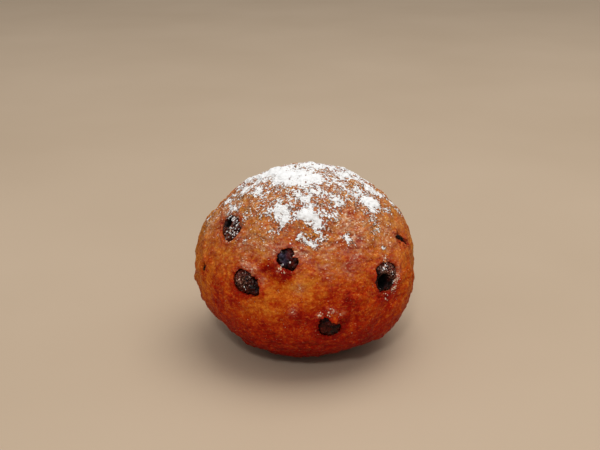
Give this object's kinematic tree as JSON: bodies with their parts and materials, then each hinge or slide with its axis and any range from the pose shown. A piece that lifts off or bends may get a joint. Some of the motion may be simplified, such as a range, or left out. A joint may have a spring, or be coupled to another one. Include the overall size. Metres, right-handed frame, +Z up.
{
  "type": "oliebol",
  "caption": "Round deep-fried dough ball with raisins set in its browned, wrinkled crust, standing on a small flat spot.",
  "frame": {"origin": "middle of the flat spot the ball rests on", "axes": "+Z up; the side with the most raisins faces -Y; +X to the right as seen from that side"},
  "size_m": [0.0766, 0.0752, 0.0631],
  "materials": {
    "fried_crust": "fried dough crust, red-brown to orange, slightly oily",
    "raisin": "wrinkled dark raisin skin, semi-gloss",
    "powdered_sugar": "dry white powdered sugar, matt"
  },
  "bodies": {
    "root": {"dough": "fried_crust", "raisin_01": "raisin", "raisin_02": "raisin", "raisin_03": "raisin", "raisin_04": "raisin", "raisin_05": "raisin", "raisin_06": "raisin", "raisin_07": "raisin", "raisin_08": "raisin", "raisin_09": "raisin", "raisin_10": "raisin", "raisin_11": "raisin"}
  },
  "joints": []
}
